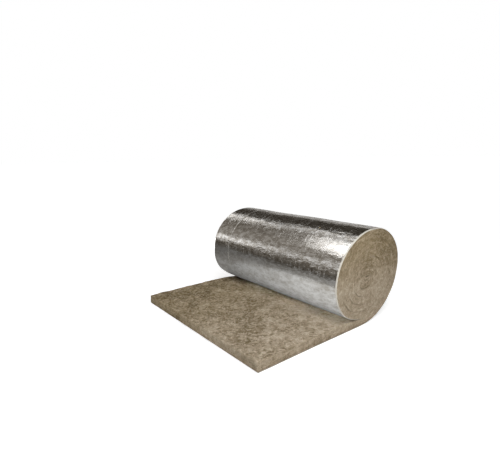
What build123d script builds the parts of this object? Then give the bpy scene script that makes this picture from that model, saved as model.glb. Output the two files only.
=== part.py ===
from build123d import *
import os

# Mineral wool mat with a reinforced aluminium foil facing, rolled up, with its outer end laid out flat.
# X runs along the mat, with the free end at -X. Y is the axis of the coil. Z is up, and the floor is Z = 0.
# From its free end the mat passes under the coil, up its +X side, over the top and down its -X side.

# The mat, as cut
mat_width = 1000
mat_thickness = 50
free_length = 676
facing_thickness = 0.4

# The coil squeezes the wool, more below than above, because it carries its own weight
turns = 5
pitch_below = 40
pitch_above = 47
eye_height = 22

# The settled coil is flat below and above for this length, and its top has moved this far to +X
coil_flat = 20
coil_lean = 34

# The turns are pressed into one body, and part only at the two ends of the coil
turn_gap = 1.2
turn_groove_depth = 10

# Past the coil the wool swells back to its full thickness over this length
recovery_length = 180

coil_height = (turns + 1) * pitch_below + eye_height + turns * pitch_above
lean = coil_lean / coil_height


def turn_bottom(turn):
    """Height of the lowest line of a turn. The outermost is turn 0, and the core is the last."""
    return turn * pitch_below


def turn_top(turn):
    """Height of the highest line of a turn."""
    return coil_height - turn * pitch_above


def half_turn(start_z, end_z, inset):
    """A level stretch and two quarter arcs, up the +X side or down the -X side, inside by the inset."""
    side = 1 if end_z > start_z else -1
    height = abs(end_z - start_z)
    start_x = lean * start_z if side > 0 else lean * start_z + coil_flat
    level_z = start_z + side * inset
    level = Line((start_x, level_z), (start_x + side * coil_flat, level_z))
    first_quarter = JernArc(level @ 1, level % 1, (1 + lean) * height / 2 - inset, 90)
    second_quarter = JernArc(first_quarter @ 1, first_quarter % 1, (1 - lean) * height / 2 - inset, 90)
    return [level, first_quarter, second_quarter]


def whole_turn(turn, inset):
    """Up one side from the bottom of a turn, over its top and down to the bottom of the next."""
    up = half_turn(turn_bottom(turn), turn_top(turn), inset)
    down = half_turn(turn_top(turn), turn_bottom(turn + 1), inset)
    return up + down


def inner_turns(inset):
    """The spiral from the bottom of turn 1 inwards to the top of the core."""
    line = [arc for turn in range(1, turns) for arc in whole_turn(turn, inset)]
    return line + half_turn(turn_bottom(turns), turn_top(turns), inset)


def filled(*outline):
    """The closed outline in the plane of the coil's section, filled."""
    return make_face(Plane.XZ * (Curve() + list(outline)))


def across_width(section):
    return extrude(section, amount=mat_width / 2, both=True)


def eye_section():
    """What the core leaves open: it is folded shut on one side, and ends in a face across the strip."""
    inside = half_turn(turn_top(turns), turn_bottom(turns + 1), inset=-turn_gap)
    floor_end = ((inside[0] @ 0).X, (inside[-1] @ 1).Y)
    return filled(*inside, Line(inside[-1] @ 1, floor_end), Line(floor_end, inside[0] @ 0))


def groove_section():
    """The seam between the turns, a band of even width from where the strip tucks in to the eye."""
    outside_of_turn = inner_turns(inset=facing_thickness)
    inside_of_turn_around = inner_turns(inset=-turn_gap)
    mouth = Line(outside_of_turn[0] @ 0, inside_of_turn_around[0] @ 0)
    end_at_eye = Line(outside_of_turn[-1] @ 1, inside_of_turn_around[-1] @ 1)
    return filled(*outside_of_turn, end_at_eye, *inside_of_turn_around, mouth)


def wool_mat():
    """One strip of wool: laid out flat, wound in, and open along the eye and in the end grooves."""
    outside = whole_turn(0, inset=facing_thickness)
    tucked_in = outside[-1] @ 1
    nip = Vector(tucked_in.X, turn_bottom(1) - turn_gap)
    recovered = (nip.X - recovery_length, mat_thickness)
    halfway = (nip.X - recovery_length / 2, (nip.Y + mat_thickness) / 2)
    end_head = (-free_length, mat_thickness)
    end_foot = (-free_length, facing_thickness)
    section = filled(
        *outside,
        Line(tucked_in, nip),
        TangentArc(nip, halfway, tangent=(-1, 0)),
        TangentArc(recovered, halfway, tangent=(1, 0)),
        Line(recovered, end_head),
        Line(end_head, end_foot),
        Line(end_foot, outside[0] @ 0),
    )
    strip = across_width(section) - across_width(eye_section())
    for end in (-1, 1):
        end_plane = Pos(0, end * mat_width / 2, 0)
        strip -= end_plane * extrude(groove_section(), amount=turn_groove_depth, dir=(0, -end, 0))
    return strip


def foil_facing():
    """The facing under the free end and round the outermost turn, to where the strip tucks in."""
    outer_line = whole_turn(0, inset=0)
    glued_line = whole_turn(0, inset=facing_thickness)
    outer_end = (-free_length, 0)
    glued_end = (-free_length, facing_thickness)
    section = filled(
        *outer_line,
        Line(outer_line[-1] @ 1, glued_line[-1] @ 1),
        *glued_line,
        Line(glued_line[0] @ 0, glued_end),
        Line(glued_end, outer_end),
        Line(outer_end, outer_line[0] @ 0),
    )
    return across_width(section)


wool = wool_mat()
facing = foil_facing()

# The origin is on the floor, under the middle of the whole roll
to_middle = Pos(-facing.bounding_box().center().X, 0, 0)

os.makedirs("parts", exist_ok=True)
export_step(to_middle * wool, "parts/wool_mat.step")
export_step(to_middle * facing, "parts/foil_facing.step")
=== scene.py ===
import math

import bmesh
import bpy
import numpy as np
from mathutils import Matrix, Vector


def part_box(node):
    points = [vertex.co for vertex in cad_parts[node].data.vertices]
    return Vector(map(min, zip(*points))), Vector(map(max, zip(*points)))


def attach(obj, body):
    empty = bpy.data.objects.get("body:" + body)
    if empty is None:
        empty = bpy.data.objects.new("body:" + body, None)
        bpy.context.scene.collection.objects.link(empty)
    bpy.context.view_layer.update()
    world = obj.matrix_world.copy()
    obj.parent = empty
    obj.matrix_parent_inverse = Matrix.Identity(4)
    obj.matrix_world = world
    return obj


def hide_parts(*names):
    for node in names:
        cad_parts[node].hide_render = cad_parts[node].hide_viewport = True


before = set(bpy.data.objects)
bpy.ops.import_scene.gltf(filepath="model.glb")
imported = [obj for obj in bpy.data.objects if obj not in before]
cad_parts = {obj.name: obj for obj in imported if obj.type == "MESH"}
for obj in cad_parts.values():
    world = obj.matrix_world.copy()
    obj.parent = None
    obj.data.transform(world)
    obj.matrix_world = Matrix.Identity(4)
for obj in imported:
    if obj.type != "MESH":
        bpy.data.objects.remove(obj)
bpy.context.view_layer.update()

# The coil, in metres, as the frame has it
MAT_WIDTH = 1.0
MAT_THICKNESS = 0.050
FREE_LENGTH = 0.676
TURNS = 5
PITCH_BELOW = 0.040
PITCH_ABOVE = 0.047
EYE_HEIGHT = 0.022
COIL_FLAT = 0.020
COIL_LEAN = 0.034
RECOVERY_LENGTH = 0.180

COIL_HEIGHT = (TURNS + 1) * PITCH_BELOW + EYE_HEIGHT + TURNS * PITCH_ABOVE
LEAN = COIL_LEAN / COIL_HEIGHT
LAST_TURN = TURNS + 0.5

# The free end's edge is the lowest X of the whole part
FREE_EDGE_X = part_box("foil_facing")[0].x
COIL_X = FREE_EDGE_X + FREE_LENGTH
HALF_WIDTH = MAT_WIDTH / 2

# Shares of a half turn that its level stretch and each of its two arcs take up
LEVEL_SHARE = 0.06
ARC_SHARE = (1 - LEVEL_SHARE) / 2

# How deep the wool lies under the facing's outer side, on the outer turn and further in, and the turns' gap
WOOL_INSET = 0.0024
WOUND_INSET = 0.0004
WOUND_GAP = 0.0002

# Height of the slit in the eye, and radii of free and of pressed corners
EYE_SEEN = 0.005
CUT_EDGE_ROUND = 0.0040
SEAM_ROUND = 0.0011

# How askew the free end is cut, and how far its -Y corner is pulled out
FREE_END_SKEW = 0.004
CORNER_PULL = 0.0035

# How much deeper the cut faces lie at the core than on the outer turn
CORE_SETBACK = 0.004

# The outer turn's belly, its sag over the nip, the sag of the coil's far end and the shifts of its turns
BELLY = 0.0035
NIP_SAG = 0.0075
FAR_SAG = 0.0045
SHIFT_X, SHIFT_Z = 0.0035, 0.0030

# The facing, with its glue and net, and its bent edges
SHEET_THICKNESS = 0.0008
LIP_LENGTH = 0.010
LIP_TILT = math.radians(42)

# Camera, fitted to the outline in the 500 by 450 picture
PICTURE_WIDTH = 500
PICTURE_MIDDLE = (250, 225)
OPTICAL_CENTRE = (250, 290)
FOCAL_PIXELS = 381.94
CAMERA_AZIMUTH = -38.41
CAMERA_ELEVATION = 19.99
CAMERA_ROLL = -0.83
CAMERA_DISTANCE = 1.8935
CAMERA_AIM = (-0.2337, -0.1416, 0.2)


# Smooth steps and random fields


def lattice_noise(points, cell, seed, octaves=1):
    """Random values from -1 to 1 on a cubic lattice, smoothly blended, in octaves of half the size.

    Points is an array whose last axis is x, y and z. Cell is the lattice's size, or one size for each axis.
    """
    total = np.zeros(points.shape[:-1])
    weight_sum = 0.0
    for octave in range(octaves):
        table = np.random.default_rng(seed + 101 * octave).uniform(-1, 1, (32, 32, 32))
        place = points / np.asarray(cell, float) * 2**octave
        corner = np.floor(place).astype(int)
        share = place - corner
        share = share * share * (3 - 2 * share)
        value = np.zeros(total.shape)
        for step in np.ndindex(2, 2, 2):
            i, j, k = np.moveaxis((corner + step) % 32, -1, 0)
            weight = np.prod(np.where(np.array(step) == 1, share, 1 - share), axis=-1)
            value += table[i, j, k] * weight
        total += 0.5**octave * value
        weight_sum += 0.5**octave
    return total / weight_sum


def ease(low, high, x):
    """0 below low, 1 above high, and a smooth rise in between. With low above high it falls instead."""
    t = np.clip((x - low) / (high - low), 0, 1)
    return t * t * (3 - 2 * t)


def stacked(*parts):
    """Arrays brought to one shape and set side by side in a new last axis."""
    return np.stack(np.broadcast_arrays(*parts), axis=-1)


# The wound line


def wound_point(turn, inset):
    """A point of the strip's outer side, and the direction out of the coil there.

    Turn counts turns inwards from the coil's lowest line, and below 0 it runs along the free end to -1.
    Each half turn is a level stretch and two quarter arcs, whose radii share its height so that it leans.
    """
    turn = np.minimum(np.asarray(turn, float), TURNS + 1 - 1e-6)
    on_floor = turn < 0
    wound = np.maximum(turn, 0)
    whole = np.floor(wound)
    going_down = (wound - whole >= 0.5).astype(float)
    part = 2 * (wound - whole) - going_down
    side = 1 - 2 * going_down
    top = COIL_HEIGHT - whole * PITCH_ABOVE
    start_z = np.where(going_down, top, whole * PITCH_BELOW)
    next_bottom = np.where(whole == TURNS, top - EYE_SEEN, (whole + 1) * PITCH_BELOW)
    end_z = np.where(going_down, next_bottom, top)
    height = np.abs(end_z - start_z)
    level = np.clip(part / LEVEL_SHARE, 0, 1)
    first = np.clip((part - LEVEL_SHARE) / ARC_SHARE, 0, 1) * math.pi / 2
    second = np.clip((part - LEVEL_SHARE - ARC_SHARE) / ARC_SHARE, 0, 1) * math.pi / 2
    first_radius = (1 + LEAN) * height / 2 - inset
    second_radius = (1 - LEAN) * height / 2 - inset
    x = LEAN * start_z + going_down * COIL_FLAT
    forward = level * COIL_FLAT + first_radius * np.sin(first) - second_radius * (1 - np.cos(second))
    x = x + side * forward
    z = start_z + side * (inset + first_radius * (1 - np.cos(first)) + second_radius * np.sin(second))
    heading = going_down * math.pi + first + second
    x = np.where(on_floor, FREE_LENGTH * np.minimum(turn, 0), x)
    z = np.where(on_floor, inset, z)
    heading = np.where(on_floor, 0, heading)
    return COIL_X + x, z, np.sin(heading), -np.cos(heading)


def run_length(turn):
    """Metres along the wound line from the free end."""
    fine = np.linspace(-1, TURNS + 1, 9000)
    x, z, _, _ = wound_point(fine, 0)
    run = np.concatenate([[0], np.cumsum(np.hypot(np.diff(x), np.diff(z)))])
    return np.interp(turn, fine, run)


def evenly(start, stop, spacing):
    """Turn values from start to stop whose points lie about one spacing apart along the wound line."""
    fine = np.linspace(start, stop, 6000)
    run = run_length(fine)
    count = max(2, int(round((run[-1] - run[0]) / spacing)) + 1)
    return np.interp(np.linspace(run[0], run[-1], count), run, fine)


# The strip of wool, from its outer side to its inner side


def free_end_top(x):
    """Height of the free end: full thickness, pressed down towards the coil along two equal arcs."""
    t = np.clip((COIL_X - x) / RECOVERY_LENGTH, 0, 1)
    rise = np.where(t < 0.5, 2 * t**2, 1 - 2 * (1 - t) ** 2)
    low = PITCH_BELOW - WOUND_GAP
    return low + (MAT_THICKNESS - low) * rise


def heading_angle(turn):
    """Degrees round the coil from its lowest line, where the strip's outer side faces: 180 is the top."""
    _, _, out_x, out_z = wound_point(turn, 0)
    return np.degrees(np.arctan2(out_x, -out_z)) % 360


def swell(turn, y):
    """Unevenness of the outer turn, in metres out of the coil, for wool and facing alike.

    It is low noise, a belly on the +X side near -Y, and a sag over the nip at the +Y end.
    """
    place = stacked(run_length(turn), y, 0)
    free = ease(0.02, 0.15, turn) * (1 - ease(0.92, 0.985, turn))
    wide = 0.0010 * lattice_noise(place, (0.20, 0.27, 1), 53)
    narrow = 0.0004 * lattice_noise(place, (0.07, 0.12, 1), 52)
    angle = heading_angle(turn)
    belly = BELLY * ease(30, 90, angle) * (1 - ease(110, 170, angle)) * (1 - ease(-0.4, 0.3, y))
    sag = NIP_SAG * ease(262, 292, angle) * (1 - ease(300, 322, angle)) * ease(0.34, 0.47, y)
    return free * (wide + narrow + belly + sag)


def outer_side(turn):
    """The side with the facing: the wound line, moved in by what the facing takes."""
    x, z, _, _ = wound_point(turn, WOOL_INSET + (WOUND_INSET - WOOL_INSET) * ease(0.97, 1.0, turn))
    return x, z


def inner_side(turn):
    """The bare side: the free end's top, then the next turn's wound line, then the end face at the eye."""
    free_x = COIL_X + LEAN * PITCH_BELOW * (1 + turn) + FREE_LENGTH * turn
    wound_x, wound_z, _, _ = wound_point(turn + 1, -WOUND_GAP)
    core_top = COIL_HEIGHT - TURNS * PITCH_ABOVE
    up_the_end = np.clip((turn - TURNS) / 0.5, 0, 1)
    end_x = wound_point(np.full(turn.shape, LAST_TURN), 0)[0]
    end_z = core_top - (EYE_SEEN + WOUND_GAP) * (1 - up_the_end)
    x = np.where(turn < 0, free_x, np.where(turn < TURNS, wound_x, end_x))
    z = np.where(turn < 0, free_end_top(free_x), np.where(turn < TURNS, wound_z, end_z))
    return x, z


def settled(points):
    """Places after small shifts of whole turns, a sag of the coil's far end and a skew of the free end.

    The shifts are wide noise along X and Z. The skew turns the free edge about its +Y corner and pulls its
    -Y corner outwards. Wool and facing move alike.
    """
    x, y, z = np.moveaxis(points, -1, 0)
    loose = ease(0.02, 0.10, z) * ease(-0.12, 0.0, x)
    far_sag = FAR_SAG * ease(-0.25, 0.25, y) * ease(0.25, 0.48, z)
    moved = points.copy()
    moved[..., 0] += loose * SHIFT_X * lattice_noise(points, (0.13, 0.45, 0.13), 11)
    moved[..., 2] += loose * (SHIFT_Z * lattice_noise(points, (0.15, 0.40, 0.11), 12) - far_sag)
    moved[..., 0] -= FREE_END_SKEW * (0.5 - y / MAT_WIDTH) * ease(-0.02, -0.48, x)
    moved[..., 1] -= CORNER_PULL * ease(-0.10, -0.45, x) * ease(0.0, -0.5, y)
    return moved


# Mesh building


def quads(numbers):
    """Four-sided faces between neighbours of a grid of vertex numbers."""
    a, b = numbers[:-1, :-1], numbers[:-1, 1:]
    c, d = numbers[1:, 1:], numbers[1:, :-1]
    return np.stack([a, b, c, d], axis=-1).reshape(-1, 4)


def fan_between(fine, coarse):
    """Triangles between a row of vertex numbers and a shorter one that divides it into equal stretches."""
    per_stretch = (len(fine) - 1) // (len(coarse) - 1)
    number = np.arange(len(fine) - 1)
    stretch, place = number // per_stretch, number % per_stretch
    nearest = coarse[stretch + (place >= per_stretch // 2)]
    along_fine = np.stack([fine[:-1], nearest, fine[1:]], axis=-1)
    middle = fine[np.arange(len(coarse) - 1) * per_stretch + per_stretch // 2]
    along_coarse = np.stack([coarse[:-1], coarse[1:], middle], axis=-1)
    return np.concatenate([along_fine, along_coarse])


def shown(name, data):
    """An object at the origin that shows this mesh, lamp or camera."""
    made = bpy.data.objects.new(name, data)
    bpy.context.scene.collection.objects.link(made)
    return made


def corner_vertices(mesh):
    """The vertex number at each corner of the mesh's faces."""
    numbers = np.empty(len(mesh.loops), np.int32)
    mesh.loops.foreach_get("vertex_index", numbers)
    return numbers


def mark_corners(mesh, uvs, marks):
    """Smooth faces, a UV map of run and width, and under each mark's name one number for each corner."""
    uv_map = mesh.uv_layers.new(name="run_and_width")
    uv_map.data.foreach_set("uv", uvs.ravel().astype(np.float32))
    for name, values in marks.items():
        attribute = mesh.attributes.new(name, "FLOAT", "CORNER")
        attribute.data.foreach_set("value", values.astype(np.float32))
    mesh.polygons.foreach_set("use_smooth", np.ones(len(mesh.polygons), bool))


class Patchwork:
    """Patches that share their borders, sewn into one closed mesh whose faces point outwards."""

    def __init__(self):
        self.places, self.uvs, self.marks, self.faces, self.count = [], [], [], [], 0

    def add(self, places, uv, mark=0.0):
        """Adds a grid of places with its UV pairs and one mark, and gives its vertex numbers as a grid."""
        shape = places.shape[:2]
        numbers = self.count + np.arange(shape[0] * shape[1]).reshape(shape)
        self.places.append(places.reshape(-1, 3))
        self.uvs.append(np.broadcast_to(uv, (*shape, 2)).reshape(-1, 2))
        self.marks.append(np.full(shape[0] * shape[1], mark))
        self.faces.append(quads(numbers))
        self.count += numbers.size
        return numbers

    def join_rows(self, first, second, ends):
        """Joins two rows of vertex numbers one for one, with a fan in between where one row is shorter."""
        for part in (slice(0, ends + 1), slice(-ends - 1, None)):
            self.faces.append(quads(np.stack([first[part], second[part]])))
        first, second = first[ends:-ends], second[ends:-ends]
        if len(first) == len(second):
            self.faces.append(quads(np.stack([first, second])))
        else:
            fine, coarse = (first, second) if len(first) > len(second) else (second, first)
            self.faces.append(fan_between(fine, coarse))

    def sew(self, name):
        """Merges the shared borders, keeps each corner's UV and mark, and turns all faces outwards."""
        places, uvs, marks = (np.concatenate(v) for v in (self.places, self.uvs, self.marks))
        mesh = bpy.data.meshes.new(name)
        mesh.from_pydata(places.tolist(), [], [face for block in self.faces for face in block.tolist()])
        corner = corner_vertices(mesh)
        mark_corners(mesh, uvs[corner], {"cut_face": marks[corner]})
        sewn = bmesh.new()
        sewn.from_mesh(mesh)
        bmesh.ops.remove_doubles(sewn, verts=sewn.verts, dist=2e-5)
        bmesh.ops.dissolve_degenerate(sewn, edges=sewn.edges, dist=1e-6)
        bmesh.ops.recalc_face_normals(sewn, faces=sewn.faces)
        sewn.to_mesh(mesh)
        sewn.free()
        mesh.update()
        return shown(name, mesh)


def displace(obj, height_at):
    """Moves each vertex along its normal by the height that the function gives for its place."""
    mesh = obj.data
    places, normals = np.empty(len(mesh.vertices) * 3), np.empty(len(mesh.vertices) * 3)
    mesh.vertices.foreach_get("co", places)
    mesh.vertex_normals.foreach_get("vector", normals)
    places, normals = places.reshape(-1, 3), normals.reshape(-1, 3)
    moved = places + normals * height_at(places, normals)[:, None]
    mesh.vertices.foreach_set("co", moved.ravel())
    mesh.update()


# The wool mat

# Steps over a cut face's straight part and each round corner, and columns where the mat shows and elsewhere
CUT_STEPS = 7
CORNER_STEPS = 3
FINE_ACROSS = 160
COARSE_ACROSS = 8
WOOL_SPACING = 0.0058

# Under the coil, this far from its lowest line, the close columns meet the wide ones
ZIP_X = -0.016


def across_cut_face(turn):
    """Shares of the thickness and setbacks over a cut face, one row for each turn value.

    The face is a quarter round, a straight part and a quarter round, from the outer side to the inner side.
    The rounds are larger on free corners than on those pressed against the next turn.
    """
    outer_x, outer_z = outer_side(turn)
    inner_x, inner_z = inner_side(turn)
    thickness = np.maximum(np.hypot(inner_x - outer_x, inner_z - outer_z), 1e-5)[:, None]
    pressed = SEAM_ROUND * (1 + 0.6 * lattice_noise(stacked(run_length(turn), 0, 0), 0.09, 71))
    outer_radius = np.where(turn < 1, CUT_EDGE_ROUND, pressed)[:, None]
    inner_radius = np.where(turn < 0, CUT_EDGE_ROUND, pressed)[:, None]
    outer_radius, inner_radius = (np.minimum(r, 0.35 * thickness) for r in (outer_radius, inner_radius))
    angle = np.linspace(0, math.pi / 2, CORNER_STEPS + 1)
    depth, setback = 1 - np.cos(angle), 1 - np.sin(angle)
    low, high = outer_radius * depth / thickness, 1 - inner_radius * depth[::-1] / thickness
    straight = np.linspace(0, 1, CUT_STEPS + 2)[1:-1]
    middle = low[:, -1:] + (high[:, :1] - low[:, -1:]) * straight
    shares = np.concatenate([low, middle, high], axis=1)
    flat = np.zeros_like(middle)
    setbacks = np.concatenate([outer_radius * setback, flat, inner_radius * setback[::-1]], axis=1)
    return shares, setbacks + telescoped(turn[:, None] + shares)


def telescoped(turns_in):
    """How far the cut faces lie behind the outer turn's, which grows towards the core."""
    return CORE_SETBACK * ease(0.45, 1.0, np.minimum(turns_in, LAST_TURN) / LAST_TURN)


def strip_place(turn, share, y):
    """A place in the strip: from its outer side, at share 0, straight to its inner side, at share 1."""
    outer_x, outer_z = outer_side(turn)
    inner_x, inner_z = inner_side(turn)
    _, _, out_x, out_z = wound_point(turn, 0)
    swollen = swell(turn, y) * (1 - share)
    x = outer_x + (inner_x - outer_x) * share + out_x * swollen
    z = outer_z + (inner_z - outer_z) * share + out_z * swollen
    return stacked(x, y, z)


def wool_mat():
    """The mat as one strip: its cut edges, its inner and outer sides, its free end and its end in the eye.

    Each side is a grid over the turn value and the width, placed by strip_place. Columns are close together
    only where the bare side shows, and a row of triangles under the coil joins them to the wider ones.
    """
    zip_turn = ZIP_X / FREE_LENGTH
    free_turns = evenly(-1, zip_turn, WOOL_SPACING)
    wound_turns = evenly(zip_turn + 0.008, LAST_TURN - 0.004, WOOL_SPACING)
    turns = np.concatenate([free_turns, wound_turns])
    shares, setbacks = across_cut_face(turns)
    run = run_length(turns)[:, None]
    thickness = np.where(turns < 0, MAT_THICKNESS, PITCH_ABOVE)[:, None]
    strip = Patchwork()

    for side in (-1, 1):
        edge_y = side * (HALF_WIDTH - setbacks)
        uv = stacked(run, side * (HALF_WIDTH + shares * thickness))
        strip.add(strip_place(turns[:, None], shares, edge_y), uv, mark=1.0)

    def broad_side(rows, columns, column):
        """A grid over the strip's inner or outer side, between the round corners of its cut edges."""
        y = np.linspace(-1, 1, columns + 1) * (HALF_WIDTH - setbacks[rows, column][:, None])
        places = strip_place(turns[rows][:, None], shares[rows, column][:, None], y)
        return strip.add(places, stacked(run[rows], y))

    free, wound = slice(0, len(free_turns)), slice(len(free_turns), None)
    free_top = broad_side(free, FINE_ACROSS, -1)
    wound_inner = broad_side(wound, COARSE_ACROSS, -1)
    outer = broad_side(slice(None), COARSE_ACROSS, 0)
    strip.faces.append(fan_between(free_top[-1], wound_inner[0]))

    # The free end swells outwards between the round corners, and its two ends lie on the cut edges
    share, setback = shares[:1].T, setbacks[:1].T
    y = np.linspace(-1, 1, FINE_ACROSS + 1) * (HALF_WIDTH - setback)
    end = strip_place(free_turns[:1, None], share, y)
    corner = np.clip((HALF_WIDTH - setback - np.abs(y)) / CUT_EDGE_ROUND, 0, 1)
    end[..., 0] -= (CUT_EDGE_ROUND - setback) * np.sqrt(1 - (1 - corner) ** 2)
    free_end = strip.add(end, stacked(y, HALF_WIDTH + MAT_THICKNESS * share), mark=1.0)
    strip.faces.append(fan_between(free_end[0], outer[0]))

    # The end in the eye
    y = np.linspace(-1, 1, COARSE_ACROSS + 1) * (HALF_WIDTH - setbacks[-1:].T)
    strip.add(strip_place(turns[-1:, None], shares[-1:].T, y), np.zeros(2), mark=1.0)
    for block in strip.places:
        block[:] = settled(block)
    return strip.sew("wool_mat_piece")


# A fold across the free end: its middle's place, its slant in X for each metre of Y, half its length, its
# depth and half its width
FOLD_X, FOLD_Y = -0.277, 0.365
FOLD_SLANT = -0.36
FOLD_REACH = 0.10
FOLD_DEPTH = 0.0035
FOLD_WIDTH = 0.006


def wool_relief(places, normals):
    """Height of the wool's tufts and hollows: lumps of three sizes, and a fold across the free end.

    The fold's section is a bell curve. The lumps are on the bare faces alone, the free end's top, its end
    face and, lower, the cut edges, and they fade out towards the floor.
    """
    from_fold = places[:, 0] - FOLD_X - (places[:, 1] - FOLD_Y) * FOLD_SLANT
    along_fold = np.abs(places[:, 1] - FOLD_Y) / FOLD_REACH
    fold = -FOLD_DEPTH * np.exp(-((from_fold / FOLD_WIDTH) ** 2)) * ease(1.0, 0.6, along_fold)
    lumps = 0.0022 * lattice_noise(places, 0.045, 31, 2) + 0.0017 * lattice_noise(places, 0.017, 32, 2)
    wide = 0.0018 * lattice_noise(places, 0.16, 33)
    on_top = ease(0.3, 0.8, normals[:, 2]) * (places[:, 0] < COIL_X)
    cut = ease(0.80, 0.98, np.abs(normals[:, 1]))
    free_end = ease(0.5, 0.9, -normals[:, 0]) * (places[:, 0] < FREE_EDGE_X + 0.02)
    bare = np.clip(on_top + 0.6 * cut + free_end, 0, 1)
    above_floor = ease(0.001, 0.012, places[:, 2])
    return (lumps + wide) * bare * above_floor + fold * on_top


# Loose fibres on the bare wool

FIBRE_RINGS = 6
FIBRE_SIDES = 3

# How many lie on the free end's top, on each side's cut edge and on the free end's face
FIBRES_ON_TOP = 620
FIBRES_ON_EDGE = 330
FIBRES_ON_END = 40


def fibre_tubes(paths, radius):
    """Vertex places and faces of closed tubes round curved paths, one row of places for each path.

    A ring of three places lies across the path at each of its places. Its radius falls from the middle of
    the path to a quarter at its two ends, along half a sine wave.
    """
    along = np.gradient(paths, axis=1)
    along /= np.linalg.norm(along, axis=-1, keepdims=True)
    across = np.cross(along, (0.31, 0.52, 0.80))
    across /= np.linalg.norm(across, axis=-1, keepdims=True)
    upright = np.cross(along, across)
    angle = (np.arange(FIBRE_SIDES) / FIBRE_SIDES * 2 * math.pi)[:, None]
    thick = radius[:, None] * (0.25 + 0.75 * np.sin(np.linspace(0, math.pi, FIBRE_RINGS)))
    ring = np.cos(angle) * across[:, :, None] + np.sin(angle) * upright[:, :, None]
    places = paths[:, :, None] + thick[..., None, None] * ring
    numbers = np.arange(places.size // 3).reshape(places.shape[:3])
    beside = np.roll(numbers, -1, axis=2)
    sides = np.stack([numbers[:, :-1], beside[:, :-1], beside[:, 1:], numbers[:, 1:]], axis=-1)
    ends = np.concatenate([numbers[:, 0, ::-1], numbers[:, -1]])
    return places.reshape(-1, 3), sides.reshape(-1, 4).tolist() + ends.tolist()


def loose_fibres():
    """Curved fibres on the free end's top, on the cut edges along the winding, and on the free end's face.

    Each is a shallow arc with a slight wave in it, a function of a share from -0.5 to 0.5 along its length.
    Its middle stands off the wool and its two ends dip into it.
    """
    rng = np.random.default_rng(81)
    share = np.linspace(-0.5, 0.5, FIBRE_RINGS)
    arch = 1 - 4 * share**2

    def bent(count, shortest, longest, lift):
        """Distances along and across each fibre, and above the wool, in metres."""
        length = rng.uniform(shortest, longest, (count, 1))
        bow, wave = rng.normal(0, 0.15, (count, 1)), rng.normal(0, 0.06, (count, 1))
        above = rng.uniform(0.2, 1.0, (count, 1)) * lift * arch - 0.0006
        return length * share, length * (bow * arch + wave * np.sin(2 * math.pi * share)), above

    def on_wool(places, normal, above):
        """Places on the settled wool, moved out along the normal by its relief and by the height above."""
        places, normal = settled(places), np.array(normal, float)
        flat = places.reshape(-1, 3)
        relief = wool_relief(flat, np.broadcast_to(normal, flat.shape)).reshape(above.shape)
        return places + normal * (relief + above)[..., None]

    paths, uvs = [], []
    forward, sideways, above = bent(FIBRES_ON_TOP, 0.020, 0.065, 0.0030)
    direction = rng.uniform(0, math.pi, (FIBRES_ON_TOP, 1))
    x = rng.uniform(FREE_EDGE_X + 0.022, 0.01, (FIBRES_ON_TOP, 1))
    y = rng.uniform(-0.475, 0.475, (FIBRES_ON_TOP, 1))
    x = x + forward * np.cos(direction) - sideways * np.sin(direction)
    y = y + forward * np.sin(direction) + sideways * np.cos(direction)
    paths.append(on_wool(stacked(x, y, free_end_top(x)), (0, 0, 1), above))
    uvs.append(stacked(x - FREE_EDGE_X, y))

    fine = np.linspace(-1, LAST_TURN, 6000)
    fine_run = run_length(fine)
    for side in (-1, 1):
        forward, sideways, above = bent(FIBRES_ON_EDGE, 0.015, 0.055, 0.0022)
        run = rng.uniform(0.03, fine_run[-1] - 0.06, (FIBRES_ON_EDGE, 1)) + forward
        turn = np.interp(run, fine_run, fine)
        deep = np.clip(rng.uniform(0.1, 0.9, (FIBRES_ON_EDGE, 1)) + sideways / MAT_THICKNESS, 0.06, 0.94)
        places = strip_place(turn, deep, side * (HALF_WIDTH - telescoped(turn + deep)))
        paths.append(on_wool(places, (0, side, 0), above))
        uvs.append(stacked(run, side * (HALF_WIDTH + deep * PITCH_ABOVE)))

    forward, sideways, above = bent(FIBRES_ON_END, 0.015, 0.045, 0.0022)
    y = rng.uniform(-0.47, 0.47, (FIBRES_ON_END, 1)) + forward
    z = np.clip(rng.uniform(0.008, 0.042, (FIBRES_ON_END, 1)) + sideways, 0.006, 0.044)
    paths.append(on_wool(stacked(FREE_EDGE_X - CUT_EDGE_ROUND, y, z), (-1, 0, 0), above))
    uvs.append(stacked(y, HALF_WIDTH + z))

    paths, uvs = np.concatenate(paths), np.concatenate(uvs)
    places, faces = fibre_tubes(paths, rng.uniform(0.00022, 0.00045, len(paths)))
    mesh = bpy.data.meshes.new("loose_fibres")
    mesh.from_pydata(places.tolist(), [], faces)
    corner = corner_vertices(mesh)
    on_cut_face = corner // (FIBRE_RINGS * FIBRE_SIDES) >= FIBRES_ON_TOP
    uv = uvs.reshape(-1, 2)[corner // FIBRE_SIDES]
    mark_corners(mesh, uv, {"cut_face": on_cut_face, "loose": np.ones(len(corner))})
    mesh.update()
    return shown("loose_fibres", mesh)


# The facing

# Columns over a bent edge, over the outer and the inner layer where the facing shows, and where it doesn't
LIP_COLUMNS = 4
FOIL_OUTSIDE = 192
FOIL_INSIDE = 48
FOIL_HIDDEN = 8

# The turn values between which the facing shows, and its rows' spacing there
SEEN_FROM, SEEN_TO = 0.08, 0.988
FOIL_SPACING = 0.0053

# How far its edges lie inside the mat's width on the inner turns, and as much again at the core
TUCK = 0.012

# In degrees from the bottom, where the outer turn is smooth and shines, and from where it is pulled tight
SHINE_FROM, SHINE_TO = 213, 238
TIGHT_FROM = 258

# The shine fades in between these two values of Y
SHINE_Y = (0.08, -0.18)


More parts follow.
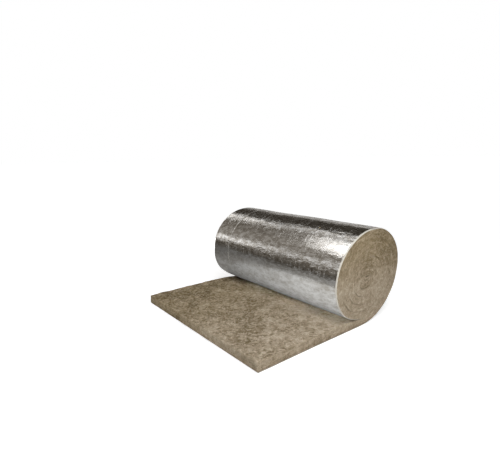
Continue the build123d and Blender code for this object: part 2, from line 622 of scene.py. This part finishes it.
def lip_profile(columns):
    """Places, inward drops and cloth lengths across the facing, whose edges bend inwards along an arc."""
    radius = LIP_LENGTH / LIP_TILT
    angle = np.linspace(0, LIP_TILT, LIP_COLUMNS + 1)[1:]
    bend_y, drop = radius * np.sin(angle), radius * (1 - np.cos(angle))
    flat_half = HALF_WIDTH - bend_y[-1]
    flat_y = np.linspace(-flat_half, flat_half, columns + 1)
    y = np.concatenate([-flat_half - bend_y[::-1], flat_y, flat_half + bend_y])
    cloth = np.concatenate([-flat_half - radius * angle[::-1], flat_y, flat_half + radius * angle])
    return y, np.concatenate([drop[::-1], 0 * flat_y, drop]), cloth


def creases(turn, y):
    """Height of the facing's creases: ripples that run across the mat, and dents.

    They are low where the facing is tight, on the lower -X side, and where it shines, towards -Y. There are
    none on the floor.
    """
    angle = heading_angle(turn)
    place = stacked(run_length(turn), y, 0)
    slack = ease(0.03, 0.12, turn) * (1 - ease(0.95, 0.985, turn))
    slack = slack * (1 - 0.85 * ease(TIGHT_FROM - 6, TIGHT_FROM + 8, angle))
    shine = ease(SHINE_FROM - 2, SHINE_FROM + 3, angle) * ease(SHINE_TO, SHINE_TO - 6, angle)
    slack = slack * (1 - 0.6 * shine * ease(*SHINE_Y, y))
    ripples = 0.00040 * lattice_noise(place, (0.018, 0.060, 1), 51)
    dents = 0.00035 * lattice_noise(place, (0.048, 0.10, 1), 54)
    return slack * (ripples + dents)


def foil_facing():
    """The facing as one closed thin strip: an outer and an inner layer, joined along the border.

    A place is the wound line's point, moved along its own normal by the swell and the creases, less the
    drop of the bent edges. Columns are close together on the outer turn only, and fans of triangles join
    them to the wider ones.
    """
    stretches = [
        (evenly(-1, SEEN_FROM, 0.02), FOIL_HIDDEN, FOIL_HIDDEN),
        (evenly(SEEN_FROM + 0.004, SEEN_TO, FOIL_SPACING), FOIL_OUTSIDE, FOIL_INSIDE),
        (evenly(SEEN_TO + 0.003, LAST_TURN - 0.01, 0.009), FOIL_HIDDEN, FOIL_HIDDEN),
    ]
    sheet = Patchwork()

    def layer(turns, columns, depth):
        """A grid over turn and width, this deep under the facing's outer side."""
        y, drop, cloth = lip_profile(columns)
        turn = turns[:, None]
        x, z, out_x, out_z = wound_point(turn, 0)
        bent = drop * ease(0.0, 0.05, turn) * (1 - ease(0.98, 1.0, turn))
        height = swell(turn, y) + creases(turn, y) - bent - depth
        height = np.where(turn < 0, -depth, height)
        tucked = 1 - TUCK / HALF_WIDTH * (ease(0.985, 1.02, turn) + ease(2.0, TURNS, turn))
        places = stacked(x + out_x * height, y * tucked, z + out_z * height)
        return sheet.add(settled(places), stacked(run_length(turn), cloth))

    outer = [layer(turns, columns, 0.0) for turns, columns, _ in stretches]
    inner = [layer(turns, columns, SHEET_THICKNESS) for turns, _, columns in stretches]
    for grids in (outer, inner):
        for before, after in zip(grids, grids[1:]):
            sheet.join_rows(before[-1], after[0], LIP_COLUMNS)
    for side in (0, -1):
        edges = [np.concatenate([grid[:, side] for grid in grids]) for grids in (outer, inner)]
        sheet.faces.append(quads(np.stack(edges, axis=1)))
    for end in (0, -1):
        sheet.faces.append(quads(np.stack([outer[end][end], inner[end][end]])))
    return sheet.sew("foil_facing_piece")


# Materials


class Value:
    """A shader socket that carries a number. Arithmetic on it adds Math nodes."""

    def __init__(self, shading, socket):
        self.shading, self.socket = shading, socket

    def math(self, operation, *others):
        """The result of a Math node with this value first and the others after it."""
        settings = {"operation": operation}
        return self.shading.node("ShaderNodeMath", settings, dict(enumerate([self, *others])))

    def __add__(self, other):
        return self.math("ADD", other)

    def __sub__(self, other):
        return self.math("SUBTRACT", other)

    def __rsub__(self, other):
        return (self * -1).math("ADD", other)

    def __mul__(self, other):
        return self.math("MULTIPLY", other)

    __radd__ = __add__
    __rmul__ = __mul__

    def between(self, low, high):
        """0 below low, 1 above high and a smooth rise in between. With low above high it falls instead."""
        values = {"Value": self, "From Min": low, "From Max": high}
        return self.shading.node("ShaderNodeMapRange", {"interpolation_type": "SMOOTHSTEP"}, values)


class Shading:
    """A node tree, and the one way in which nodes are added to it."""

    def __init__(self, owner):
        owner.use_nodes = True
        self.tree = owner.node_tree

    def node(self, kind, settings, values, output=0):
        """A node of this type. Its settings are set first, then its sockets get their links or values."""
        made = self.tree.nodes.new(kind)
        for name, setting in settings.items():
            setattr(made, name, setting)
        self.fill(made, values)
        return Value(self, made.outputs[output]) if made.outputs else None

    def fill(self, made, values):
        """Links or values for the sockets of a node, by their names or numbers."""
        for name, value in values.items():
            if isinstance(value, Value):
                self.tree.links.new(value.socket, made.inputs[name])
            else:
                made.inputs[name].default_value = value

    def place(self):
        """Object coordinates, in metres."""
        return self.node("ShaderNodeTexCoord", {}, {}, "Object")

    def part_of(self, vector, axis):
        """One of the three numbers of a vector, by its name X, Y or Z."""
        return self.node("ShaderNodeSeparateXYZ", {}, {"Vector": vector}, axis)

    def noise(self, place, scale, detail, roughness=0.5, distortion=0.0):
        """Smooth noise from about 0.25 to 0.75, with this many features to the metre."""
        look = {"Scale": scale, "Detail": detail, "Roughness": roughness, "Distortion": distortion}
        return self.node("ShaderNodeTexNoise", {}, {"Vector": place, **look})

    def streaks(self, place, turned, scales, detail, roughness=0.5, distortion=0.0):
        """Noise on a place that is turned by degrees about three axes, then scaled along them."""
        turned = [math.radians(a) for a in turned]
        spun = self.node("ShaderNodeMapping", {}, {"Vector": place, "Rotation": turned})
        stretched = self.node("ShaderNodeMapping", {}, {"Vector": spun, "Scale": scales})
        return self.noise(stretched, 1, detail, roughness, distortion)

    def lines(self, noise, level, reach):
        """1 along the lines where the noise has this level, and falling to 0 within this reach of it."""
        return (noise - level).math("ABSOLUTE").between(reach, 0.0)

    def mix(self, share, first, second):
        """Two colours mixed by a share from 0 to 1."""
        first, second = (v if isinstance(v, Value) else (*v, 1) for v in (first, second))
        return self.node("ShaderNodeMix", {"data_type": "RGBA"}, {0: share, 6: first, 7: second}, 2)

    def glow(self, colour, strength):
        """An Emission shader."""
        return self.node("ShaderNodeEmission", {}, {"Color": (*colour, 1), "Strength": strength})

    def seen_or_mirrored(self):
        """1 for the camera, for mirror images and through glass, and 0 for the light on the object."""
        kinds = ("Is Camera Ray", "Is Glossy Ray", "Is Transmission Ray")
        seen, mirrored, through = (self.node("ShaderNodeLightPath", {}, {}, kind) for kind in kinds)
        return seen.math("MAXIMUM", mirrored).math("MAXIMUM", through)

    def end_with(self, kind, shader):
        """Takes away what a new tree holds, and gives it this shader alone."""
        for old in [n for n in self.tree.nodes if n.bl_idname in ("ShaderNodeBsdfPrincipled", kind)]:
            self.tree.nodes.remove(old)
        self.node(kind, {}, {"Surface": shader})


class Finish(Shading):
    """A material of the piece's own, on the Principled shader."""

    def __init__(self, name, slot):
        self.material = bpy.data.materials.new(name)
        super().__init__(self.material)
        self.shader = self.tree.nodes["Principled BSDF"]
        self.slot = slot

    def run_and_width(self):
        """The strip's own UV map, in metres along the run and across the width or the thickness."""
        return self.node("ShaderNodeUVMap", {"uv_map": "run_and_width"}, {})

    def bump(self, height, distance, strength=1.0, normal=None):
        """A Bump node, whose height times its distance is in metres."""
        values = {"Height": height, "Distance": distance, "Strength": strength}
        if normal is not None:
            values["Normal"] = normal
        return self.node("ShaderNodeBump", {}, values)

    def feed(self, **sockets):
        """Links or values for the shader's own sockets, named with underscores for blanks."""
        self.fill(self.shader, {name.replace("_", " "): value for name, value in sockets.items()})

    def finish_piece(self, piece):
        """The piece takes this material."""
        piece.data.materials.append(self.material)


WOOL_DARK = (0.120, 0.087, 0.042)
WOOL_BROWN = (0.262, 0.198, 0.108)
WOOL_MIDDLE = (0.285, 0.227, 0.154)
WOOL_SAND = (0.505, 0.418, 0.290)
WOOL_PALE = (0.520, 0.440, 0.335)

# The directions in which the fine fibres lie, and the two broad sets of strokes, as turns in degrees
FIBRE_TURNS = ((20, 35, 10), (-35, 10, 75), (60, -30, 140))
STROKE_TURNS = ((0, 0, 25), (0, 0, -50))

# Painted shade of the eye's hollow, partly the binder's darker brown, darkens the wool over the last
# stretch of its run, in the core
CORE_RUN = float(run_length(LAST_TURN))
CORE_SHADE = 0.30


def mineral_wool():
    """Matt brown wool, whose one shade from dark to pale adds up what lies on its faces.

    The top has patches, strokes, tufts, pale strands and the fold's painted shadow, and is painted darker
    towards the free edge. The cut faces have layers and arcs that follow the winding, and painted shade in
    the core and near the floor. Fine fibres in three directions cover both. All is paler towards -Y and the
    floor, partly the wool's own tone and partly painted light.
    """
    wool = Finish("mineral_wool", "mineral_wool")
    place, run = wool.place(), wool.run_and_width()
    x, y, z = (wool.part_of(place, axis) for axis in "XYZ")
    cut = wool.node("ShaderNodeAttribute", {"attribute_name": "cut_face"}, {}, "Fac")
    loose = wool.node("ShaderNodeAttribute", {"attribute_name": "loose"}, {}, "Fac")
    uncut = 1 - cut

    # Tufts, patches and strokes, from fine to broad
    fibres = [wool.streaks(place, t, (60, 700, 700), 1, 0.5, 0.3) for t in FIBRE_TURNS]
    fibre = (fibres[0] + fibres[1] + fibres[2]) * (1 / 3)
    tufts = wool.noise(place, 60, 3, 0.6, 0.6)
    strokes = [wool.streaks(place, t, (15, 60, 35), 3, 0.6, 0.5) for t in STROKE_TURNS]
    strokes = (strokes[0] + strokes[1]).between(0.82, 1.18)
    patches = wool.noise(place, 13, 3, 0.6, 0.4).between(0.28, 0.72) * 0.55 + strokes * 0.45
    broad = wool.noise(place, 9, 2).between(0.35, 0.65)
    wide = wool.noise(place, 4.5, 2).between(0.3, 0.7)

    # What follows the winding on the cut faces
    layers = wool.streaks(run, (0, 0, 0), (20, 200, 1), 3, 0.6, 0.4)
    arcs = wool.streaks(run, (0, 0, 0), (7, 95, 1), 2, 0.55, 0.5) * 2 - 1
    pale_arcs, dark_arcs = wool.lines(arcs, 0.10, 0.05), wool.lines(arcs, -0.10, 0.05)
    # Painted shade in the eye's core, partly the binder's darker brown
    core = wool.part_of(run, "X").between(CORE_RUN - CORE_SHADE, CORE_RUN)

    # Thin pale veins round the tufts, long strands, and the fold's painted shadow
    veins = wool.lines(wool.noise(place, 24, 4, 0.65, 0.8) * 2, 1, 0.11)
    strands = wool.streaks(place, (0, 0, 20), (9, 14, 10), 3, 0.6, 1.2) * 2
    strands = wool.lines(strands, 1, 0.035) * wool.noise(place, 13, 1).between(0.42, 0.58) * uncut
    veins = veins * tufts.between(0.30, 0.6) * (1 - cut * 0.5) + strands * 0.8
    fold = (x - FOLD_X - (y - FOLD_Y) * FOLD_SLANT).math("ABSOLUTE").between(0.007, 0.001)
    fold = fold * (y - FOLD_Y).math("ABSOLUTE").between(FOLD_REACH, 0.6 * FOLD_REACH) * uncut

    blotch = patches * (1 - cut * 0.6) + layers.between(0.30, 0.70) * (cut * 0.6)
    # Paler towards -Y and low down: partly painted light, partly the wool's own tone
    paler = (1 - y.between(-0.4, 0.4) * 0.82 - z.between(0.17, 0.45) * 0.82).math("MAXIMUM", 0)
    shade = blotch * (0.45 - cut * 0.17) + tufts.between(0.30, 0.70) * (0.22 - cut * 0.05)
    shade = shade + fibre.between(0.36, 0.64) * 0.12
    shade = shade + wide * (0.18 - cut * 0.06) + broad * cut * 0.08 + paler * 0.22 - 0.11
    # Painted light: the free end darker towards its free edge and paler towards the coil, partly the wool's
    # own tone; and the fold's painted shadow
    shade = shade + (x.between(-0.45, 0.10) * 0.14 - 0.07) * uncut - fold * 0.3
    # Painted shade: the core darker in the eye's hollow, partly the binder's darker brown, and the cut
    # faces darker near the floor
    shade = shade + (0.09 - core * 0.09 - dark_arcs * 0.05 - z.between(0.036, 0.0) * 0.15) * cut

    darker = wool.mix(shade.between(0.10, 0.60), WOOL_DARK, wool.mix(paler, WOOL_BROWN, WOOL_MIDDLE))
    pale = veins * 0.72 + shade.between(0.40, 1.0) * 0.9 + pale_arcs * cut * 0.48 + loose * 0.22
    colour = wool.mix(pale, darker, wool.mix(paler, WOOL_SAND, WOOL_PALE))
    rough_fibres = wool.bump(fibre, 0.004, 0.6)
    normal = wool.bump(tufts * (1 - cut * 0.5) + layers * (cut * 0.5), 0.006, 0.5, rough_fibres)
    wool.feed(Base_Color=colour, Roughness=0.95, Specular_IOR_Level=0.15, Normal=normal)
    return wool


FOIL_DULL = (0.57, 0.545, 0.505)
FOIL_BRIGHT = (0.97, 0.97, 0.965)
SELVEDGE = (0.56, 0.53, 0.47)
NET_SPACING = 0.0065
FAR_CREASE_Y = 0.345


def run_at_heading(angle):
    """Metres of run from the free edge to the place on the outer turn with this heading angle."""
    turns = np.linspace(0.02, 0.98, 4000)
    return float(run_length(np.interp(angle, heading_angle(turns), turns)))


def reinforced_foil():
    """Rolled foil on a net. Its heights are in metres, added up for one Bump node.

    They are ripples across the mat, crumples, grain, ridges round the coil, a long crease near the far end
    and the net's threads, and are lower where the foil is tight and where it shines. Its colour runs from
    dull to bright in specks and patches. It is worn pale along the crease, and bare at both edges.
    """
    foil = Finish("foil", "foil")
    run = foil.run_and_width()
    along, across = foil.part_of(run, "X"), foil.part_of(run, "Y")
    tight_from, smooth_from, smooth_to = (run_at_heading(a) for a in (TIGHT_FROM, SHINE_FROM, SHINE_TO))
    tight = along.between(tight_from, tight_from + 0.04)
    smooth = along.between(smooth_from, smooth_from + 0.03) * along.between(smooth_to, smooth_to - 0.03)
    smooth = smooth * across.between(*SHINE_Y)

    # Heights
    ripples = foil.streaks(run, (0, 0, 3), (70, 26, 1), 1, 0.6, 0.3)
    crumples = foil.streaks(run, (0, 0, -6), (110, 60, 1), 1, 0.5, 0.4)
    grain = foil.streaks(run, (0, 0, 0), (170, 120, 1), 2, 0.6)
    ridges = foil.lines(foil.streaks(run, (0, 0, 0), (0.9, 13, 1), 3, 0.65) * 2, 1, 0.05)
    wobble = foil.noise(run, 9, 2) * 0.006 - 0.003
    far_crease = (across - FAR_CREASE_Y + wobble).math("ABSOLUTE").between(0.005, 0.0015)
    far_crease = far_crease * (foil.noise(run, 12, 2).between(0.40, 0.60) * 0.65 + 0.35)
    net_along, net_across = ((way * (2 * math.pi / NET_SPACING)).math("SINE") for way in (along, across))
    patches = foil.noise(run, 7, 3).between(0.35, 0.62)
    height = ripples * (patches * 0.0008 + 0.0005) + crumples * 0.0005 + grain * 0.0003
    height = height * (1 - across.between(-0.05, 0.25) * 0.3)
    height = height * (1 - tight * 0.55) * (1 - smooth * 0.88)
    height = height + ridges * (1 - smooth) * 0.0002 + far_crease * 0.0005
    height = height + net_along * 0.000025 + net_across * 0.000045

    # Where the metal is worn or bare
    streaks_round = foil.streaks(run, (0, 0, 2), (5, 80, 1), 2, 0.55)
    worn = streaks_round.between(0.60, 0.72) * patches * (1 - tight) * (1 - smooth) * 0.22
    lip = across.math("ABSOLUTE").between(HALF_WIDTH - 0.0070, HALF_WIDTH - 0.0055)
    bare = lip.math("MAXIMUM", worn + far_crease * 0.45)

    # How clean the metal is, in specks, patches and broad tones
    streaks = foil.streaks(run, (0, 0, 4), (150, 55, 1), 2, 0.6)
    threads = foil.streaks(run, (0, 0, 0), (40, 190, 1), 2, 0.6)
    specks = (streaks * 0.6 + threads * 0.4).between(0.36, 0.64)
    mottle = foil.streaks(run, (0, 0, 5), (48, 24, 1), 2, 0.55).between(0.36, 0.64)
    tone = foil.streaks(run, (0, 0, 5), (16, 5, 1), 3)
    broad = tone.between(0.3, 0.7)
    clean = broad * 0.3 + specks * 0.8 + mottle * 1.1 - 0.60
    clean = clean * (1 - tight * 0.6) + (broad * 0.45 + 0.13) * tight
    clean = clean * (1 - smooth * 0.6) + smooth * 0.5

    metal = foil.mix(clean, FOIL_DULL, FOIL_BRIGHT)
    scuffed = far_crease * 0.35 + ridges * 0.10 + specks * (1 - tight * 0.8) * 0.12
    foil.feed(Base_Color=foil.mix(bare, metal, SELVEDGE), Metallic=1 - bare)
    foil.feed(Roughness=tone * 0.08 + 0.06 + scuffed + lip * 0.4, Normal=foil.bump(height, 1.0))
    return foil


# The stage: floor, world, lamps and cards that only the foil sees

# The share of the white world's light that falls on things
WORLD_LIGHT = 0.30

# The sun's azimuth, elevation, strength and width in degrees
KEY_SUN = (-38, 54, 1.05, 50)

# Each soft lamp has its target, azimuth, elevation, distance, width and power
SOFT_LAMPS = (
    ("low_front", (0.2, -0.5, 0.12), -25, 4, 1.3, 0.8, 3.2),
    ("over_free_end", (-0.22, -0.35, 0.0), -25, 64, 1.3, 0.7, 6.5),
    ("low_side", (0.05, -0.05, 0.05), -88, 13, 1.4, 0.8, 1.2),
    ("low_back", (0.2, 0.5, 0.16), 155, 5, 1.4, 0.9, 4.0),
)

# A narrow beam into the corner between the coil and the free end: its target, azimuth, elevation and
# distance, then its length, width, power and spread in degrees
CORNER_AIM = ((0.125, -0.10, 0.05), -90, 25, 0.75)
CORNER_BEAM = (0.8, 0.03, 0.18, 8)

# How far the cards, and the soft boxes in front of them, stand from the coil's axis, and reach along it
CARD_DISTANCE = 2.2
BOX_DISTANCE = 2.05
CARD_REACH = 16.0

# Each card fills an angle round the coil's axis, from +X over the top, at one level of light
CARDS = (
    (-12, 8, 0.08),
    (8, 20, 0.65),
    (20, 28, 0.16),
    (28, 52, 0.040),
    (52, 72, 0.050),
    (72, 82, 0.95),
    (82, 115, 0.16),
    (115, 149, 0.245),
    (149, 159, 0.66),
    (159, 172, 0.18),
    (172, 186, 0.08),
)

# Soft boxes in front of them, from one place along the coil to another
SOFT_BOXES = (
    (98.5, 121, -0.2, 1.10, 2.0),
    (90, 98.5, -0.2, 1.10, 0.55),
    (70, 84, 1.45, 2.05, 0.52),
    (68.5, 83, 2.70, CARD_REACH, 1.40),
    (118, 148, 2.30, CARD_REACH, 0.29),
    (148, 163, 2.30, CARD_REACH, 0.98),
)

# Low cards: the studio's grey floor, and a glow that stands in for the free end's reflection, whose painted
# shade fades into the nip
FLOOR_CARD = (-5.0, 5.0, -CARD_REACH, CARD_REACH, 0.0008)
TAIL_CARD = (FREE_EDGE_X, COIL_X - 0.06, -HALF_WIDTH, HALF_WIDTH, MAT_THICKNESS + 0.004)


def floor_paint(shading):
    """White paint that looks a little brighter than it is lit, so that it meets the white world."""
    paint = shading.node("ShaderNodeBsdfDiffuse", {}, {"Color": (0.88, 0.88, 0.88, 1)})
    glow = shading.glow((1, 1, 1), shading.seen_or_mirrored() * 0.52)
    return shading.node("ShaderNodeAddShader", {}, {0: paint, 1: glow})


def card_glow(level):
    """An even glow of this level, warmer where it is dark."""
    warmth = 0.05 + 0.28 * (1 - min(level, 0.5) / 0.5)
    return lambda shading: shading.glow((1, 1 - 0.45 * warmth, 1 - warmth), level)


def floor_glow(shading):
    """On the -X side dark far off and paler towards the mat and -Y, on the +X side darker near the coil, a
    painted shadow of the coil.
    """
    x, y = (shading.part_of(shading.place(), axis) for axis in "XY")
    level = x.between(-2.3, -0.9) * 0.15 + 0.085
    level = level - x.between(0.30, 0.50) * 0.10 + x.between(0.55, 2.6) * 0.30
    level = level * (1.3 - y * 0.5).math("MAXIMUM", 0.65).math("MINIMUM", 1.6)
    return shading.glow((1, 0.97, 0.92), level)


def painted_tail_reflection(shading):
    """A painted reflection of the free end: paler towards -Y, and with painted shade darker towards the
    coil, which shades it.
    """
    x, y = (shading.part_of(shading.place(), axis) for axis in "XY")
    shaded = (1 - x.between(-0.30, 0.06) * 0.25) * (1 - x.between(-0.02, 0.13) * 0.65)
    return shading.glow((1, 0.99, 0.96), (0.56 - y * 0.47) * shaded)


def flat_mesh(name, corners, shade):
    """A flat four-sided piece of the stage, with the shader that the given function makes."""
    material = bpy.data.materials.new(name)
    shading = Shading(material)
    shading.end_with("ShaderNodeOutputMaterial", shade(shading))
    mesh = bpy.data.meshes.new(name)
    mesh.from_pydata(corners, [], [(0, 1, 2, 3)])
    mesh.materials.append(material)
    made = shown(name, mesh)
    return made


def upright_card(low, high, near, far, distance):
    """Corners of a card between two angles round the coil's axis, from one place along it to another."""
    edges = []
    for angle in (math.radians(low), math.radians(high)):
        edges.append((COIL_X + distance * math.cos(angle), COIL_HEIGHT / 2 + distance * math.sin(angle)))
    (x0, z0), (x1, z1) = edges
    return [(x0, near, z0), (x1, near, z1), (x1, far, z1), (x0, far, z0)]


def build_floor_and_cards():
    """The floor, and round the coil the cards and soft boxes, which only mirror images see."""
    reach = 40
    corners = [(-reach, -reach, 0), (reach, -reach, 0), (reach, reach, 0), (-reach, reach, 0)]
    floor = flat_mesh("floor", corners, floor_paint)
    floor.location.z = -0.0005
    cards = []
    for low, high, level in CARDS:
        cards.append((upright_card(low, high, -CARD_REACH, CARD_REACH, CARD_DISTANCE), card_glow(level)))
    for low, high, near, far, level in SOFT_BOXES:
        cards.append((upright_card(low, high, near, far, BOX_DISTANCE), card_glow(level)))
    for (x0, x1, y0, y1, z), shade in ((FLOOR_CARD, floor_glow), (TAIL_CARD, painted_tail_reflection)):
        cards.append(([(x0, y0, z), (x1, y0, z), (x1, y1, z), (x0, y1, z)], shade))
    for number, (corners, shade) in enumerate(cards):
        card = flat_mesh(f"card_{number}", corners, shade)
        card.visible_camera = False
        card.visible_diffuse = False
        card.visible_shadow = False


def direction(azimuth, elevation):
    """A unit vector, by its degrees from -Y towards +X and its degrees above the floor."""
    a, e = math.radians(azimuth), math.radians(elevation)
    return Vector((math.sin(a) * math.cos(e), -math.cos(a) * math.cos(e), math.sin(e)))


def aimed_lamp(name, kind, settings, target, azimuth, elevation, distance):
    """A lamp at this distance from its target, in the direction that azimuth and elevation give."""
    lamp = bpy.data.lights.new(name, kind)
    for setting, value in settings.items():
        setattr(lamp, setting, value)
    back = direction(azimuth, elevation)
    made = shown(name, lamp)
    made.location = Vector(target) + back * distance
    made.rotation_mode = "QUATERNION"
    made.rotation_quaternion = (-back).to_track_quat("-Z", "Y")
    made.visible_glossy = False
    made.visible_camera = False


def build_lights():
    """The white world, of which a share falls on things, the sun, the soft lamps and the corner beam."""
    world = bpy.data.worlds.new("studio")
    shading = Shading(world)
    strength = shading.seen_or_mirrored() * (1 - WORLD_LIGHT) + WORLD_LIGHT
    back = shading.node("ShaderNodeBackground", {}, {"Color": (1, 1, 1, 1), "Strength": strength})
    shading.end_with("ShaderNodeOutputWorld", back)
    bpy.context.scene.world = world

    azimuth, elevation, strength, width = KEY_SUN
    sun = {"energy": strength, "angle": math.radians(width)}
    aimed_lamp("key", "SUN", sun, (0, 0, 0), azimuth, elevation, 5)
    for name, target, azimuth, elevation, distance, width, power in SOFT_LAMPS:
        disk = {"shape": "DISK", "size": width, "energy": power}
        aimed_lamp(name, "AREA", disk, target, azimuth, elevation, distance)
    length, width, power, spread = CORNER_BEAM
    beam = {"shape": "RECTANGLE", "size": length, "size_y": width, "energy": power}
    aimed_lamp("corner", "AREA", {**beam, "spread": math.radians(spread)}, *CORNER_AIM)


def build_camera():
    """The camera that the outline in the picture was fitted with."""
    data = bpy.data.cameras.new("camera")
    data.sensor_width = 36
    data.lens = data.sensor_width * FOCAL_PIXELS / PICTURE_WIDTH
    data.shift_x = (PICTURE_MIDDLE[0] - OPTICAL_CENTRE[0]) / PICTURE_WIDTH
    data.shift_y = (OPTICAL_CENTRE[1] - PICTURE_MIDDLE[1]) / PICTURE_WIDTH
    back = direction(CAMERA_AZIMUTH, CAMERA_ELEVATION)
    level_right = Vector((0, 0, 1)).cross(back).normalized()
    level_up = back.cross(level_right)
    roll = math.radians(CAMERA_ROLL)
    right = level_right * math.cos(roll) + level_up * math.sin(roll)
    up = level_up * math.cos(roll) - level_right * math.sin(roll)
    camera = shown("camera", data)
    turned = Matrix((right, up, back)).transposed().to_4x4()
    camera.matrix_world = Matrix.Translation(Vector(CAMERA_AIM) + back * CAMERA_DISTANCE) @ turned
    bpy.context.scene.camera = camera


build_camera()
build_floor_and_cards()
build_lights()

wool = wool_mat()
displace(wool, wool_relief)
fibres = loose_fibres()
with bpy.context.temp_override(active_object=wool, selected_editable_objects=[wool, fibres]):
    bpy.ops.object.join()
mineral_wool().finish_piece(wool)
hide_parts("wool_mat")
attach(wool, "root")

facing = foil_facing()
reinforced_foil().finish_piece(facing)
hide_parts("foil_facing")
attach(facing, "root")

bpy.context.scene.view_settings.view_transform = "Standard"
